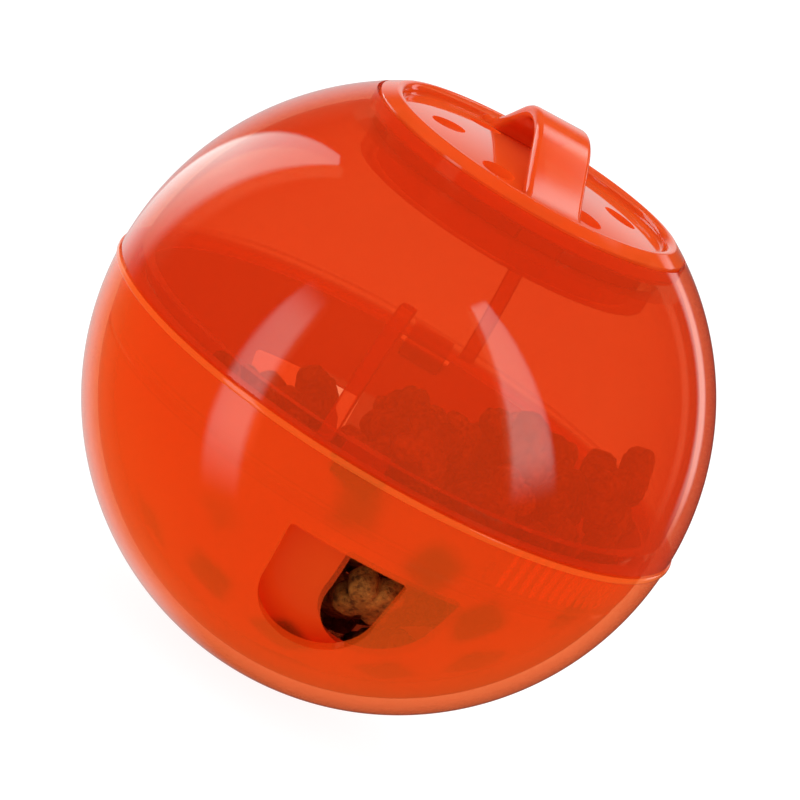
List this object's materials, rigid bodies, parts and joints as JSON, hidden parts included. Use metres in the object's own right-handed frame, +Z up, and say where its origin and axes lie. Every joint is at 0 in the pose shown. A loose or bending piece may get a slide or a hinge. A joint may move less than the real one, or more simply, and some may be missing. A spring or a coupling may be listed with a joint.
{
  "type": "treat dispensing ball",
  "caption": "Hollow pet ball in halves that turn to open side windows for food, with an inner shutter cup, a vented lid with an arched handle, and loose treats inside.",
  "frame": {"origin": "the point under the middle of the ball where it stands on the floor, lid up", "axes": "+Z up along the axis that the halves turn on, towards the lid; -Y towards the front window"},
  "size_m": [0.0764, 0.0764, 0.077],
  "materials": {
    "shell": "clear tinted, polished",
    "cup": "clear tinted, polished",
    "lid": "clear tinted, polished",
    "treats": "baked, dry and matt"
  },
  "bodies": {
    "lower_half": {"lower_half": "shell"},
    "upper_half": {"upper_half": "shell", "inner_cup": "cup", "treats": "treats"},
    "lid": {"lid": "lid"}
  },
  "joints": [
    {"name": "twist", "type": "hinge", "parent": "lower_half", "child": "upper_half", "pos_m": [0, 0, 0.038], "axis": [0, 0, 1], "range_deg": [-13.8, 16.2]},
    {"name": "lid_lift", "type": "slide", "parent": "upper_half", "child": "lid", "axis": [0, 0, 1], "range_m": [0, 0.02]}
  ]
}
